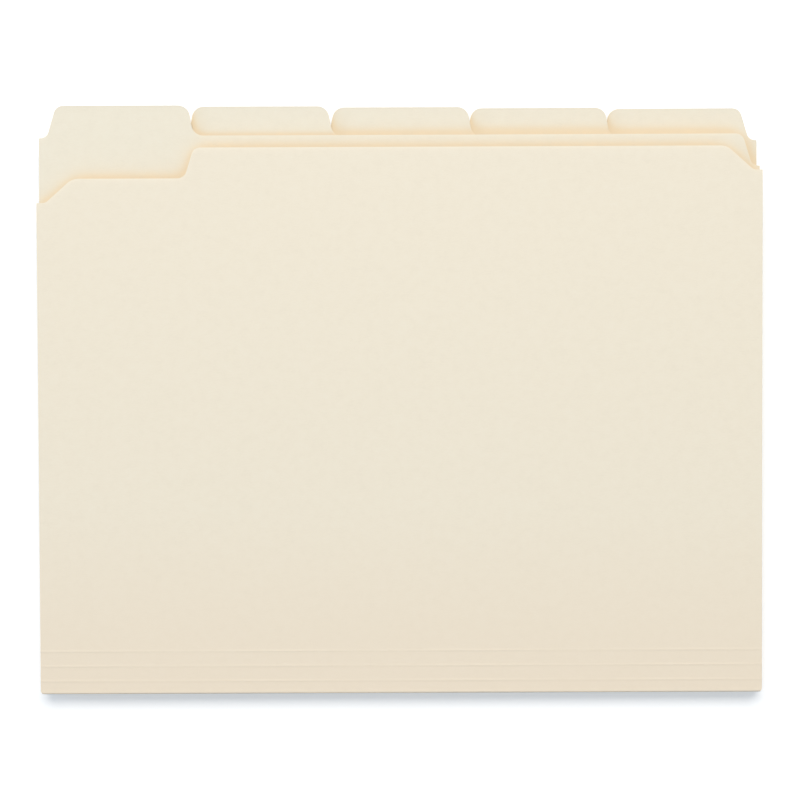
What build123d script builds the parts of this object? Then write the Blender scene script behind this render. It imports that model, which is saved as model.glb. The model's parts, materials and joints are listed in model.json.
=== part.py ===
"""Stack of five letter-size manila folders with one-fifth-cut tabs, lying closed on a table.

Each folder is one die-cut sheet of tag stock. It is folded once along the bottom and scored three times beside
the fold, so that the base can be squared to hold a thicker bundle. The fold runs along X, the tabs point to +Y,
and the stack lies on Z = 0. Folder 1, with the left tab, is on top.
"""

import os
from math import cos, radians, sin, tan

from build123d import *

# Sheet
stock_thickness = 0.28
leaf_width = 295.3
folder_height = 241.3
fold_gap = 1.0
fold_corner_radius = 2.0

# Tab row of the back leaf
tab_count = 5
tab_height = 12.3
tab_flank_slope = 80.0
tab_flank_radius = 4.8

# Stepped ends of the back leaf
back_end_shoulder = 3.2
back_end_drop = 13.2
back_end_slope = 73.5
back_end_low_radius = 3.4
back_end_high_radius = 3.8

# Front leaf: its top line, its stepped ends and the undercut below the folder's own tab
front_setback = 18.0
front_end_shoulder = 3.7
front_end_drop = 9.8
front_end_slope = 42.0
front_end_low_radius = 3.5
front_end_high_radius = 7.0
undercut_depth = 12.5
undercut_slope = 73.0
undercut_low_radius = 4.0
undercut_high_radius = 3.5

# Score lines on the front, each a bead pressed outwards
score_first = 5.6
score_pitch = 6.1
bead_height = 0.1
bead_half_width = 0.5

# How the folders lie on each other
stack_gap = 0.3
stack_opening = 0.05
top_opening = 1.0
fold_offset = 0.12
side_shift = 0.3

# The fold is rolled: its inside follows the gap between the leaves, its outside the sheet's thickness
bend_inner = fold_gap / 2
bend_outer = bend_inner + stock_thickness
half_width = leaf_width / 2
shoulder_line = folder_height - tab_height
front_line = folder_height - front_setback
tab_row_margin = back_end_shoulder + back_end_drop / tan(radians(back_end_slope)) / 2
tab_pitch = (leaf_width - 2 * tab_row_margin) / tab_count
score_lines = [score_first + score_pitch * i for i in range(3)]


def tab_edge(number):
    """X of the boundary before tab `number`, halfway up its flank."""
    return tab_row_margin + tab_pitch * number - half_width


def flank(x_start, start, end, slope, low_radius, high_radius):
    """The two corners of an S-shaped flank that runs in +X from height `start` to height `end`."""
    rise = abs(end - start)
    run = rise / tan(radians(slope))
    longest_tangent = 0.48 * rise / sin(radians(slope))
    limit = longest_tangent / tan(radians(slope) / 2)
    low, high = min(low_radius, limit), min(high_radius, limit)
    first, last = (low, high) if end > start else (high, low)
    return [(x_start, start, first), (x_start + run, end, last)]


def centred_flank(x_middle, start, end, slope, low_radius, high_radius):
    """A flank placed by its middle."""
    run = abs(end - start) / tan(radians(slope))
    return flank(x_middle - run / 2, start, end, slope, low_radius, high_radius)


def stepped_end(level, shoulder, drop, slope, low_radius, high_radius):
    """Left end of a top edge: a narrow shoulder at the leaf's side, then the flank up to `level`."""
    reach = shoulder / tan(radians(slope) / 2)
    side = (-half_width, level - drop, 0)
    corner_radius = min(low_radius, 0.96 * reach)
    return [side] + flank(shoulder - half_width, level - drop, level, slope, corner_radius, high_radius)


def mirrored(corners):
    """The same corners on the other side of the middle, still running in +X."""
    return [(-x, y, radius) for x, y, radius in reversed(corners)]


def top_edge(base, over_tab, tab, step, end):
    """A leaf's top edge from left to right: `base` high, but `over_tab` high along the tab, and stepped at the ends."""
    left_level = over_tab if tab == 0 else base
    right_level = over_tab if tab == tab_count - 1 else base
    corners = stepped_end(left_level, *end)
    if tab > 0:
        corners += centred_flank(tab_edge(tab), base, over_tab, *step)
    if tab < tab_count - 1:
        corners += centred_flank(tab_edge(tab + 1), over_tab, base, *step)
    return corners + mirrored(stepped_end(right_level, *end))


def sheet(corners, z_low):
    """A flat piece of stock with its underside at `z_low`; each corner is x, y and its rounding radius."""
    points = [(x, y) for x, y, _ in corners]
    radii = [radius for _, _, radius in corners]
    outline = make_face(FilletPolyline(*points, radius=radii, close=True))
    return extrude(Pos(Z=z_low) * outline, stock_thickness)


def along_fold(profile, length):
    """A profile in the Y-Z plane carried along the fold."""
    return extrude(Plane.YZ * profile, length / 2, both=True)


def rolled_edge(first_angle):
    """A quarter of the rolled fold, from `first_angle` on; the fold's outermost line is Y = 0, Z = 0."""
    centre = (bend_outer, 0)
    outside = CenterArc(centre, bend_outer, first_angle, 90)
    inside = CenterArc(centre, bend_inner, first_angle, 90)
    ends = [Line(outside @ 0, inside @ 0), Line(outside @ 1, inside @ 1)]
    profile = make_face([outside, inside] + ends)
    return along_fold(profile, leaf_width - 2 * fold_corner_radius)


def half_bead(y, side):
    """Half of a score's bead, on the fold's side of line `y` (side -1) or on the tab's side (side 1)."""
    foot = (y + side * bead_half_width, bend_outer)
    profile = make_face(Polyline((y, bend_outer), foot, (y, bend_outer + bead_height), close=True))
    return along_fold(profile, leaf_width)


def back_leaf(tab):
    """The leaf that carries the tab, with the lower quarter of the rolled fold."""
    step = (tab_flank_slope, tab_flank_radius, tab_flank_radius)
    end = (back_end_shoulder, back_end_drop, back_end_slope, back_end_low_radius, back_end_high_radius)
    top = top_edge(shoulder_line, folder_height, tab, step, end)
    bottom = [(half_width, bend_outer, fold_corner_radius), (-half_width, bend_outer, fold_corner_radius)]
    return sheet(top + bottom, -bend_outer) + rolled_edge(180)


def band(y_low, y_high, low_corner_radius):
    """A strip of the front as wide as the leaf, between two distances from the fold."""
    top = [(-half_width, y_high, 0), (half_width, y_high, 0)]
    bottom = [(half_width, y_low, low_corner_radius), (-half_width, y_low, low_corner_radius)]
    return sheet(top + bottom, bend_inner)


def score_strips():
    """The three strips between the fold and the last score; the first carries the upper quarter of the fold."""
    first, second, third = score_lines
    strip_a = band(bend_outer, first, fold_corner_radius) + rolled_edge(90) + half_bead(first, -1)
    strip_b = band(first, second, 0) + half_bead(first, 1) + half_bead(second, -1)
    strip_c = band(second, third, 0) + half_bead(second, 1) + half_bead(third, -1)
    return {"score_strip_a": strip_a, "score_strip_b": strip_b, "score_strip_c": strip_c}


def front_leaf(tab):
    """The leaf above the last score, undercut so that the folder's own tab shows."""
    step = (undercut_slope, undercut_low_radius, undercut_high_radius)
    end = (front_end_shoulder, front_end_drop, front_end_slope, front_end_low_radius, front_end_high_radius)
    top = top_edge(front_line, front_line - undercut_depth, tab, step, end)
    bottom = [(half_width, score_lines[-1], 0), (-half_width, score_lines[-1], 0)]
    return sheet(top + bottom, bend_inner) + half_bead(score_lines[-1], 1)


def stack():
    """Every folder from the bottom one up: its number, its fold line, and how far each leaf leans."""
    y, z, lean = -folder_height / 2, bend_outer, 0
    places = []
    for number in range(tab_count, 0, -1):
        front_lean = lean + (top_opening if number == 1 else stack_opening)
        x = -side_shift if number <= 2 else side_shift
        places.append((number, Vector(x, y, z), lean, front_lean))
        rise = 2 * bend_outer + stack_gap
        y += fold_offset * cos(radians(front_lean)) - rise * sin(radians(front_lean))
        z += fold_offset * sin(radians(front_lean)) + rise * cos(radians(front_lean))
        lean = front_lean
    return places


os.makedirs("parts", exist_ok=True)
for number, fold_line, back_lean, front_lean in stack():
    tab = number - 1
    back_place = Pos(fold_line) * Rot(X=back_lean)
    front_place = Pos(fold_line) * Rot(X=front_lean)
    pieces = {"back_leaf": back_place * back_leaf(tab), "front_leaf": front_place * front_leaf(tab)}
    for name, strip in score_strips().items():
        pieces[name] = front_place * strip
    for name, piece in pieces.items():
        export_step(piece, f"parts/folder_{number}_{name}.step")
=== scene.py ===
import json
from math import atan2, cos, pi, radians, sin, tan

import bpy
import numpy as np
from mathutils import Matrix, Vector


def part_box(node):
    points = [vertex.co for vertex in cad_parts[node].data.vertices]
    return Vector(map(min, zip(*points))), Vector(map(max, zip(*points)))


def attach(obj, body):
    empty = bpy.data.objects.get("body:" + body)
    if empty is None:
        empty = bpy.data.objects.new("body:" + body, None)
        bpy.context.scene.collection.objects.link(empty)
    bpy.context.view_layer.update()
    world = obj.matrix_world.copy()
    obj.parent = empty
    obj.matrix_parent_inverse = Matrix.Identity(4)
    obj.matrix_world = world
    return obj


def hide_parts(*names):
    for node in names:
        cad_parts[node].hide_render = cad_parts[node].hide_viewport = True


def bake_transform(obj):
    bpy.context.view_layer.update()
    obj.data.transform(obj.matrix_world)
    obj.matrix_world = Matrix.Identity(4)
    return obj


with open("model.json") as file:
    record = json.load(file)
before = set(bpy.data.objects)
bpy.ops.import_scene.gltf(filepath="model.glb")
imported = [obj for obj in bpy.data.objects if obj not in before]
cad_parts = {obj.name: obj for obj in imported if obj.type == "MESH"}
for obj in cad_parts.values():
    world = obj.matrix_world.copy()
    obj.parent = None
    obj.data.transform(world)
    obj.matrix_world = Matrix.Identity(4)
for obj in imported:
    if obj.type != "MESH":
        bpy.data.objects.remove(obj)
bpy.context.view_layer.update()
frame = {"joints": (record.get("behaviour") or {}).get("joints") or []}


# Back leaves. The rear half of each folder is a leaf of manila tag stock, 0.28 mm thick, cut by a
# steel-rule die with one tab of a row of five. Its lower end rolls into the fold and goes on as the front
# of the folder.
mm = 0.001
stock = 0.28
leaf_width = 295.3
folder_height = 241.3
fold_gap = 1.0
fold_corner = 2.0
half_width = leaf_width / 2
bend_middle = fold_gap / 2 + stock / 2
bend_outer = fold_gap / 2 + stock

tab_count = 5
tab_height = 12.3
tab_slope = 80.0
tab_radius = 4.8
back_shoulder = 3.2
back_drop = 13.2
back_slope = 73.5
back_low_radius = 3.4
back_high_radius = 3.8
back_step = (tab_slope, tab_radius, tab_radius)
back_end = (back_shoulder, back_drop, back_slope, back_low_radius, back_high_radius)
tab_row_margin = back_shoulder + back_drop / tan(radians(back_slope)) / 2
tab_pitch = (leaf_width - 2 * tab_row_margin) / tab_count

# The die presses the sheet down a little along its cut, thumbs have turned the tabs up a hair, and the
# whole stack has taken a slight set at its corners
back_press = 0.1
tab_curl = 0.06
press_reach = 0.9
corner_set = 0.5

# Points on an arc and around the bend, and the rows and columns of the grids in mm. Rows lie closer at
# the bend and at the cut edge, and edge_rows are counted back from that edge
arc_points = 9
bend_points = 7
bend_rows = np.linspace(0, bend_middle * pi / 2, bend_points)
edge_rows = np.array([4.0, 2.6, 1.7, 1.1, 0.6, 0.25, 0])
first_row = 2
last_row = 230
row_pitch = 6
last_column = 140
column_pitch = 7


def flank(middle, start, end, slope, low_radius, high_radius):
    """Two corners (x, y, radius) of an S-shaped step, centred on x = middle, from height start to height
    end. Neither arc's tangent is longer than arc_share of the flank, which leaves a straight stretch."""
    arc_share = 0.48
    rise = abs(end - start)
    half_run = rise / tan(radians(slope)) / 2
    limit = arc_share * rise / sin(radians(slope)) / tan(radians(slope) / 2)
    low = min(low_radius, limit)
    high = min(high_radius, limit)
    first, last = (low, high) if end > start else (high, low)
    return [(middle - half_run, start, first), (middle + half_run, end, last)]


def stepped_end(level, shoulder, drop, slope, low_radius, high_radius):
    """Corners at the left end of a top edge: a narrow shoulder at the leaf's side, then the step up to
    level. The low arc takes no more than arc_share of the shoulder."""
    arc_share = 0.96
    low_radius = min(low_radius, arc_share * shoulder / tan(radians(slope) / 2))
    middle = shoulder + drop / tan(radians(slope)) / 2 - half_width
    side = (-half_width, level - drop, 0)
    return [side] + flank(middle, level - drop, level, slope, low_radius, high_radius)


def top_edge(base, over_tab, tab, step, end):
    """Corners of a leaf's top edge from left to right: base high, over_tab high along the tab, and stepped
    at both ends."""
    tab_left = tab_row_margin + tab_pitch * tab - half_width
    left = stepped_end(over_tab if tab == 0 else base, *end)
    right = stepped_end(over_tab if tab == tab_count - 1 else base, *end)
    up = [] if tab == 0 else flank(tab_left, base, over_tab, *step)
    down = [] if tab == tab_count - 1 else flank(tab_left + tab_pitch, over_tab, base, *step)
    return left + up + down + [(-x, y, radius) for x, y, radius in reversed(right)]


def rounded(corners):
    """Points of a line through corners (x, y, radius). Each corner becomes an arc that starts
    radius * tan(turn / 2) before it: a point of the arc is its start plus radius times the change of
    (sin, -cos) of the heading."""
    points = np.array(corners)[:, :2]
    run = np.diff(points, axis=0)
    heading = np.arctan2(run[:, 1], run[:, 0])
    share = np.linspace(0, 1, arc_points)
    line = [points[:1]]
    for (x, y, radius), before, after in zip(corners[1:-1], heading, heading[1:]):
        reach = radius * tan(abs(after - before) / 2)
        start = np.array([x - reach * cos(before), y - reach * sin(before)])
        angle = before + (after - before) * share
        swing = np.column_stack((np.sin(angle) - sin(before), cos(before) - np.cos(angle)))
        line.append(start + radius * np.sign(after - before) * swing)
    return np.vstack(line + [points[-1:]])


def cut_sheet(top, low, low_corner, rows):
    """Grid of a die-cut sheet: x on columns through every point of the top edge, y spread from the bottom
    edge to the top edge by the shares in rows. The bottom edge rises along a quarter circle at its two
    rounded corners. Columns that agree to four decimals of a mm are one."""
    ends = half_width - low_corner * (1 - np.sin(np.linspace(0, pi / 2, arc_points)))
    plain = np.arange(-last_column, last_column + 1, column_pitch)
    x = np.unique(np.round(np.concatenate((top[:, 0], ends, -ends, plain)), 4))
    high = np.interp(x, *top.T)
    over = np.maximum(np.abs(x) - half_width + low_corner, 0)
    bottom = low + low_corner - np.sqrt(low_corner**2 - over**2)
    return np.broadcast_to(x, (len(rows), len(x))), bottom + np.outer(rows, high - bottom), high


def rolled(y, side):
    """Middle of the sheet's thickness at distance y from the fold's outermost line: a quarter turn of
    radius bend_middle beside the fold, then straight on. side is -1 for the leaf under the fold and 1 for
    the one above."""
    turn = np.minimum(y / bend_middle, pi / 2)
    run = bend_outer - bend_middle * np.cos(turn) + np.maximum(y - bend_middle * pi / 2, 0)
    return run, side * bend_middle * np.sin(turn)


def resting(x, y):
    """Lift of the sheet's far corners: corner_set times the square of x as a share of half the width, times
    the square of y as a share of the height."""
    return corner_set * (x / half_width) ** 2 * (y / folder_height) ** 2


def pressed(y, high, depth):
    """How far the die has pressed the sheet down at distance high - y from its cut: depth, which falls off
    exponentially over press_reach."""
    return depth * np.exp((y - high) / press_reach)


joints = {joint["name"]: joint for joint in frame["joints"]}


def fold_place(number):
    """Middle of a folder's fold line: its hinge's place, moved along x to the middle of its back leaf."""
    low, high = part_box(f"folder_{number}_back_leaf")
    return np.array(joints[f"folder_{number}_open"]["pos_m"]) + [(low.x + high.x) / 2, 0, 0]


def front_lean(number):
    """How far a folder's front leans: the angle of the slide that squares its base, less the angle that
    this slide has on a front that lies flat, halfway between up and towards the fold. A number past the
    last folder stands for the table, which doesn't lean."""
    flat_slide = 0.75 * pi
    if number > tab_count:
        return 0
    _, across, up = joints[f"folder_{number}_expand"]["axis"]
    return atan2(up, across) - flat_slide


def laid(x, y, z, fold, lean):
    """Points, in m, of a sheet drawn in the fold's own frame in mm: turned by lean and put at the fold."""
    across = cos(lean) * y - sin(lean) * z
    up = sin(lean) * y + cos(lean) * z
    return np.stack((x, across, up), axis=-1) * mm + fold


def add_object(name, data):
    """A new object in the scene, at the origin."""
    new = bpy.data.objects.new(name, data)
    bpy.context.scene.collection.objects.link(new)
    return new


def paper_piece(name, points, materials):
    """A piece of stock from the grid of its middle surface: one quad for each cell, made thick on both
    sides, with its cut edges in the second material."""
    rows, columns = points.shape[:2]
    index = np.arange(rows * columns).reshape(rows, columns)
    around = (index[:-1, :-1], index[:-1, 1:], index[1:, 1:], index[1:, :-1])
    quads = np.stack(around, axis=-1).reshape(-1, 4)
    mesh = bpy.data.meshes.new(name)
    mesh.from_pydata(points.reshape(-1, 3).tolist(), [], quads.tolist())
    for material in materials:
        mesh.materials.append(material)
    piece = add_object(name, mesh)
    thick = piece.modifiers.new("stock", "SOLIDIFY")
    thick.thickness = stock * mm
    thick.offset = 0
    thick.material_offset_rim = 1
    return piece


def linear(colour):
    """An sRGB hex colour as linear red, green, blue and alpha."""
    value = np.array([int(colour[i:i + 2], 16) for i in (1, 3, 5)]) / 255
    return (*np.where(value > 0.04045, ((value + 0.055) / 1.055) ** 2.4, value / 12.92), 1)


def empty_material(name):
    """A new material without nodes, and its node tree."""
    material = bpy.data.materials.new(name)
    material.use_nodes = True
    material.node_tree.nodes.clear()
    return material, material.node_tree


def add_node(tree, kind, inputs=(), **settings):
    """A new shader node. settings are its properties; inputs gives its sockets values or sockets to link."""
    new = tree.nodes.new(kind)
    for key, value in settings.items():
        setattr(new, key, value)
    for key, value in dict(inputs).items():
        if isinstance(value, bpy.types.NodeSocket):
            tree.links.new(value, new.inputs[key])
        else:
            new.inputs[key].default_value = value
    return new


def tag_stock(name, tones, roughness, cloud_share):
    """Manila tag stock is wood pulp dyed buff and pressed smooth between rolls, with no coating. To the eye
    it is matt and nearly even, with soft clouds where the pulp lies thicker, short fibres and a few darker
    specks."""
    cloud_size = 3.5
    cloud_detail = 3.0
    fibre_length = 1.6
    fibre_width = 0.5
    fibre_detail = 2.0
    fibre_bend = 0.6
    speck_spacing = 7.0
    speck_radius = 0.28
    speck_depth = 0.22
    tone_stops = (0.25, 0.5, 0.75)
    fibre_low = 0.3
    fibre_high = 0.7
    roughness_spread = 0.14
    tooth_strength = 0.35
    tooth_depth = 0.05
    gloss = 0.3

    material, tree = empty_material(name)
    place = add_node(tree, "ShaderNodeTexCoord").outputs["Object"]
    # Leaves lie less than a millimetre apart, so heights are stretched to give each leaf clouds of its own
    leaves_apart = 14.0
    layered = add_node(tree, "ShaderNodeMapping", {
        "Vector": place, "Scale": (1, 1, leaves_apart)}).outputs[0]
    clouds = add_node(tree, "ShaderNodeTexNoise", {
        "Vector": layered, "Scale": 1 / (cloud_size * mm), "Detail": cloud_detail})
    # Real fibres are a tenth of a millimetre wide; drawn five times as wide, so that they show
    along = 1 / (fibre_length * mm)
    across = 1 / (fibre_width * mm)
    grain = add_node(tree, "ShaderNodeMapping", {"Vector": layered, "Scale": (along, across, across)})
    fibres = add_node(tree, "ShaderNodeTexNoise", {
        "Vector": grain.outputs[0], "Scale": 1.0, "Detail": fibre_detail, "Distortion": fibre_bend})
    dots = add_node(tree, "ShaderNodeTexVoronoi", {"Vector": layered, "Scale": 1 / (speck_spacing * mm)})
    specks = add_node(tree, "ShaderNodeMapRange", {
        "Value": dots.outputs["Distance"], "From Min": 0.0, "From Max": speck_radius / speck_spacing,
        "To Min": speck_depth, "To Max": 0.0})
    mixed = add_node(tree, "ShaderNodeMix", {
        "Factor": cloud_share, "A": fibres.outputs[0], "B": clouds.outputs[0]})
    tone = add_node(tree, "ShaderNodeMath", {
        0: mixed.outputs[0], 1: specks.outputs[0]}, operation="SUBTRACT")
    ramp = add_node(tree, "ShaderNodeValToRGB", {"Fac": tone.outputs[0]})
    ramp.color_ramp.elements.new(tone_stops[1])
    for stop, position, colour in zip(ramp.color_ramp.elements, tone_stops, tones):
        stop.position = position
        stop.color = linear(colour)
    sheen = add_node(tree, "ShaderNodeMapRange", {
        "Value": fibres.outputs[0], "From Min": fibre_low, "From Max": fibre_high,
        "To Min": roughness, "To Max": roughness + roughness_spread})
    tooth = add_node(tree, "ShaderNodeBump", {
        "Height": mixed.outputs[0], "Strength": tooth_strength, "Distance": tooth_depth * mm})
    # Painted shade: the sheet is drawn a little darker and warmer towards its fold
    foldward_shade_low = -125.0
    foldward_shade_high = -45.0
    foldward_shade_tone = "#F4DEC4"
    foldward_shade_share = 0.54
    height = add_node(tree, "ShaderNodeSeparateXYZ", {0: place}).outputs["Y"]
    foldward_shade = add_node(tree, "ShaderNodeMapRange", {
        "Value": height, "From Min": foldward_shade_low * mm, "From Max": foldward_shade_high * mm,
        "To Min": foldward_shade_share, "To Max": 0.0})
    # A Mix node takes its two colours at sockets 6 and 7 and gives the mixed one at output 2
    shaded_towards_fold = add_node(tree, "ShaderNodeMix", {
        "Factor": foldward_shade.outputs[0], 6: ramp.outputs[0], 7: linear(foldward_shade_tone)}, data_type="RGBA")
    # Painted shade and glow: where another leaf lies close above it, the colour turns darker and warmer,
    # standing in for the shade between leaves and the light that stock lets through and warms. The shift
    # is full where the open share of the sky is crevice_shade_full or less, and gone from crevice_shade_none
    # on
    crevice_shade_reach = 9.0
    crevice_shade_tone = "#EEDBBB"
    crevice_shade_samples = 16
    crevice_shade_full = 0.76
    crevice_shade_none = 0.95
    open_sky = add_node(tree, "ShaderNodeAmbientOcclusion", {
        "Distance": crevice_shade_reach * mm}, samples=crevice_shade_samples)
    crevice_shade_share = add_node(tree, "ShaderNodeMapRange", {
        "Value": open_sky.outputs["AO"], "From Min": crevice_shade_full, "From Max": crevice_shade_none,
        "To Min": 1.0, "To Max": 0.0})
    painted_crevice_shade = add_node(tree, "ShaderNodeMix", {
        "Factor": crevice_shade_share.outputs[0], 6: shaded_towards_fold.outputs[2], 7: linear(crevice_shade_tone)}, data_type="RGBA")
    paper = add_node(tree, "ShaderNodeBsdfPrincipled", {
        "Base Color": painted_crevice_shade.outputs[2], "Roughness": sheen.outputs[0], "Normal": tooth.outputs[0],
        "Specular IOR Level": gloss})
    add_node(tree, "ShaderNodeOutputMaterial", {"Surface": paper.outputs[0]})
    return material


# The faces are calendered and even, the inner one a shade cooler. The cut edges show raw pulp, paler and
# rougher
inside_tones = ("#EEE4CF", "#F1E7D2", "#F2E9D5")
face_tones = ("#F1E5CF", "#F4E8D2", "#F5EAD5")
cut_tones = ("#EDDFC6", "#F5EBD9", "#F8F0E0")
face_roughness = 0.58
cut_roughness = 0.8
face_clouds = 0.5
cut_clouds = 0.3
manila_inside = tag_stock("manila_inside_face", inside_tones, face_roughness, face_clouds)
manila_face = tag_stock("manila_tag_stock", face_tones, face_roughness, face_clouds)
manila_cut_edge = tag_stock("manila_cut_edge", cut_tones, cut_roughness, cut_clouds)

plain_rows = np.arange(first_row, last_row + 1, row_pitch)
back_rows = np.concatenate((bend_rows, plain_rows, folder_height - edge_rows)) / folder_height
for number in range(1, tab_count + 1):
    corners = top_edge(folder_height - tab_height, folder_height, number - 1, back_step, back_end)
    x, y, high = cut_sheet(rounded(corners), 0, fold_corner, back_rows)
    along, middle = rolled(y, -1)
    on_tab = np.clip(1 + (high - folder_height) / tab_height, 0, 1)
    # The last leaf lies on the table, which keeps its cut edge up
    edge_press = back_press if number < tab_count else 0
    droop = pressed(y, high, edge_press - (edge_press + tab_curl) * on_tab)
    shape = middle + resting(x, y) - droop
    points = laid(x, along, shape, fold_place(number), front_lean(number + 1))
    leaf = paper_piece(f"folder_{number}_back_leaf_paper", points, (manila_inside, manila_cut_edge))
    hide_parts(f"folder_{number}_back_leaf")
    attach(leaf, f"folder_{number}_back")


# Score strips. Beside the fold, three score lines are pressed into the front of the sheet from its inside,
# which leaves a low bead outside. They part it into three strips that stand up when the base is squared.
score_first = 5.6
score_pitch = 6.1
score_count = 3
score_lines = score_first + score_pitch * np.arange(score_count)
bead_height = 0.055
bead_width = 0.45
bead_waver = 0.3
waver_length = 83.0
swell_height = 0.04
swell_line = 1.0
swell_width = 0.7

# Rows of the grids: close together over a bead and just past the bend, and a few between
bead_rows = np.array([0, 0.15, 0.3, 0.5, 0.8, 1.3])
past_bend_rows = (1.4, 1.6)
between_margin = 1.8
between_rows = 5


def scored(x, y):
    """Height of the three beads and of the swelling at the fold, at distance y from the fold: a bell curve
    over each line. The rule pressed the scores unevenly, so a slow sine along x raises and lowers each
    bead by bead_waver of its height."""
    phase = 2 * pi * x[..., None] / waver_length + score_lines
    bells = (1 + bead_waver * np.sin(phase)) * np.exp(-((y[..., None] - score_lines) / bead_width) ** 2)
    return bead_height * bells.sum(-1) + swell_height * np.exp(-((y - swell_line) / swell_width) ** 2)


strip_edges = (0, *score_lines)
for number in range(1, tab_count + 1):
    fold = fold_place(number)
    lean = front_lean(number)
    for letter, low, high in zip("abc", strip_edges, strip_edges[1:]):
        width = high - low
        first_rows = np.append(bend_rows, past_bend_rows) if low == 0 else bead_rows
        inner_rows = np.linspace(between_margin, width - between_margin, between_rows)
        rows = np.concatenate((first_rows, inner_rows, width - bead_rows[::-1])) / width
        top = np.array([[-half_width, high], [half_width, high]])
        x, y, _ = cut_sheet(top, low, fold_corner if low == 0 else 0, rows)
        along, middle = rolled(y, 1)
        points = laid(x, along, middle + resting(x, y) + scored(x, y), fold, lean)
        strip_name = f"folder_{number}_score_strip_{letter}_paper"
        strip = paper_piece(strip_name, points, (manila_face, manila_cut_edge))
        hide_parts(f"folder_{number}_score_strip_{letter}")
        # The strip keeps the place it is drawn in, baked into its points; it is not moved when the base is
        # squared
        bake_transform(strip)


# Front leaves. The front of each folder is the same sheet above the last score line, cut lower than the
# back and undercut below the folder's own tab so that the tab's whole face shows. Its ends are eased by
# sloped steps.
front_setback = 18.0
front_shoulder = 3.7
front_drop = 9.8
front_slope = 42.0
front_low_radius = 3.5
front_high_radius = 7.0
undercut_depth = 12.5
undercut_slope = 73.0
undercut_low_radius = 4.0
undercut_high_radius = 3.5
front_press = 0.13
front_end = (front_shoulder, front_drop, front_slope, front_low_radius, front_high_radius)
front_step = (undercut_slope, undercut_low_radius, undercut_high_radius)
front_line = folder_height - front_setback
front_span = front_line - score_lines[-1]

# Plain rows lie between those over the bead and those at the cut edge
past_bead = 4
before_edge = 5
plain_rows = np.arange(past_bead, front_span - before_edge, row_pitch)
front_rows = np.concatenate((bead_rows, plain_rows, front_span - edge_rows)) / front_span
for number in range(1, tab_count + 1):
    corners = top_edge(front_line, front_line - undercut_depth, number - 1, front_step, front_end)
    x, y, high = cut_sheet(rounded(corners), score_lines[-1], 0, front_rows)
    along, middle = rolled(y, 1)
    shape = middle + resting(x, y) + scored(x, y) - pressed(y, high, front_press)
    points = laid(x, along, shape, fold_place(number), front_lean(number))
    leaf = paper_piece(f"folder_{number}_front_leaf_paper", points, (manila_face, manila_cut_edge))
    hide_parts(f"folder_{number}_front_leaf")
    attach(leaf, f"folder_{number}_front")


# Table. A plain matt white board under the stack, far wider than the picture. It keeps the stack's
# shadow, and what the camera sees of it is lifted towards white.
table_reach = 4.0
table_tone = "#E7E7E7"
table_lift = 0.35
table_near = 0.3
table_far = 0.9
mottle_size = 25.0
board_smoothest = 0.85
board_roughest = 0.95
white = (1, 1, 1, 1)


def camera_sight(tree):
    """1 for a ray from the camera, straight or by way of a mirror or glass, and 0 for the rest."""
    ray = add_node(tree, "ShaderNodeLightPath").outputs
    sight = ray["Is Camera Ray"]
    for kind in ("Is Glossy Ray", "Is Transmission Ray"):
        sight = add_node(tree, "ShaderNodeMath", {0: sight, 1: ray[kind]}, operation="MAXIMUM").outputs[0]
    return sight


def table_top():
    """Matt white board with a faint mottle in its sheen. Where it is seen it is lifted towards white, a
    little beside the stack, where the shadow falls, and more and more further off, where the lamp no
    longer reaches."""
    material, tree = empty_material("matt_white_board")
    place = add_node(tree, "ShaderNodeTexCoord").outputs["Object"]
    mottle = add_node(tree, "ShaderNodeTexNoise", {"Vector": place, "Scale": 1 / (mottle_size * mm)})
    rough = add_node(tree, "ShaderNodeMapRange", {
        "Value": mottle.outputs[0], "To Min": board_smoothest, "To Max": board_roughest})
    away = add_node(tree, "ShaderNodeVectorMath", {0: place}, operation="LENGTH")
    rising = add_node(tree, "ShaderNodeMapRange", {
        "Value": away.outputs["Value"], "From Min": table_near, "From Max": table_far,
        "To Min": table_lift, "To Max": 1.0})
    lift = add_node(tree, "ShaderNodeMath", {
        0: camera_sight(tree), 1: rising.outputs[0]}, operation="MULTIPLY")
    board = add_node(tree, "ShaderNodeBsdfPrincipled", {
        "Base Color": linear(table_tone), "Roughness": rough.outputs[0], "Specular IOR Level": 0.0,
        "Emission Color": white, "Emission Strength": lift.outputs[0]})
    add_node(tree, "ShaderNodeOutputMaterial", {"Surface": board.outputs[0]})
    return material


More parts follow.
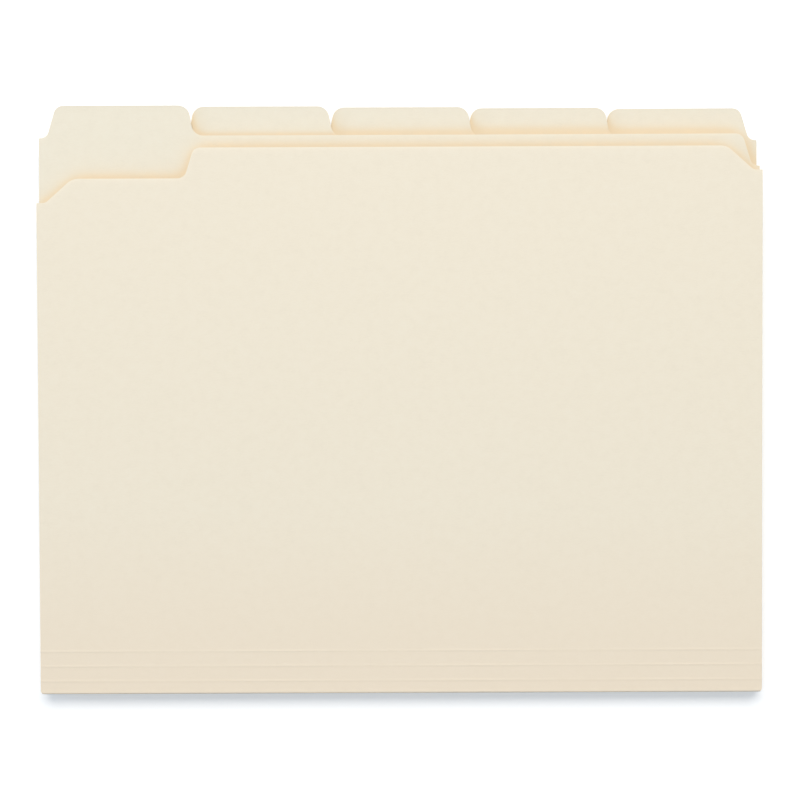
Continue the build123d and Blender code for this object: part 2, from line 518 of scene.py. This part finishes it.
board_edges = (-table_reach, table_reach)
board_mesh = bpy.data.meshes.new("table")
board_mesh.from_pydata([(x, y, 0) for y in board_edges for x in board_edges], [], [(0, 1, 3, 2)])
board_mesh.materials.append(table_top())
table = add_object("table", board_mesh)


# Light and camera. A large soft lamp stands beyond the tabs, a weak cool one low on the left, and a pale
# surround fills the rest. The camera looks straight down on the stack from 0.6 m, with the tabs at the top.
lamp_place = (0.0, 1.77, 2.62)
lamp_width = 2.76
lamp_length = 1.73
lamp_power = 85.0
lamp_tone = "#FFF9F0"
side_place = (-4.35, 0.6, 1.5)
side_width = 3.0
side_length = 1.35
side_power = 37.0
side_tone = "#B8D4FF"
surround_level = 0.398
surround_tone = "#DAEDFF"
camera_place = (-0.0004, -0.0001, 0.62)
camera_roll = -0.22
camera_lens = 67.14


def soft_lamp(name, place, width, length, power, tone):
    """An oval lamp behind a white cloth, turned to the middle of the stack."""
    data = bpy.data.lights.new(name, "AREA")
    data.shape = "ELLIPSE"
    data.size = width
    data.size_y = length
    data.energy = power
    data.color = linear(tone)[:3]
    lamp = add_object(name, data)
    lamp.location = place
    lamp.rotation_euler = Vector(place).to_track_quat("Z", "Y").to_euler()


soft_lamp("main_lamp", lamp_place, lamp_width, lamp_length, lamp_power, lamp_tone)
soft_lamp("side_lamp", side_place, side_width, side_length, side_power, side_tone)

world = bpy.data.worlds.new("white_surround")
world.use_nodes = True
sky = world.node_tree
sky.nodes.clear()
dimmed = [surround_level * value for value in linear(surround_tone)]
shown = add_node(sky, "ShaderNodeMix", {
    "Factor": camera_sight(sky), 6: dimmed, 7: white}, data_type="RGBA")
surround = add_node(sky, "ShaderNodeBackground", {"Color": shown.outputs[2], "Strength": 1.0})
add_node(sky, "ShaderNodeOutputWorld", {"Surface": surround.outputs[0]})
bpy.context.scene.world = world

camera_data = bpy.data.cameras.new("camera")
camera_data.lens = camera_lens
camera = add_object("camera", camera_data)
camera.location = camera_place
camera.rotation_euler = (0, 0, radians(camera_roll))
bpy.context.scene.camera = camera
bpy.context.scene.view_settings.view_transform = "Standard"
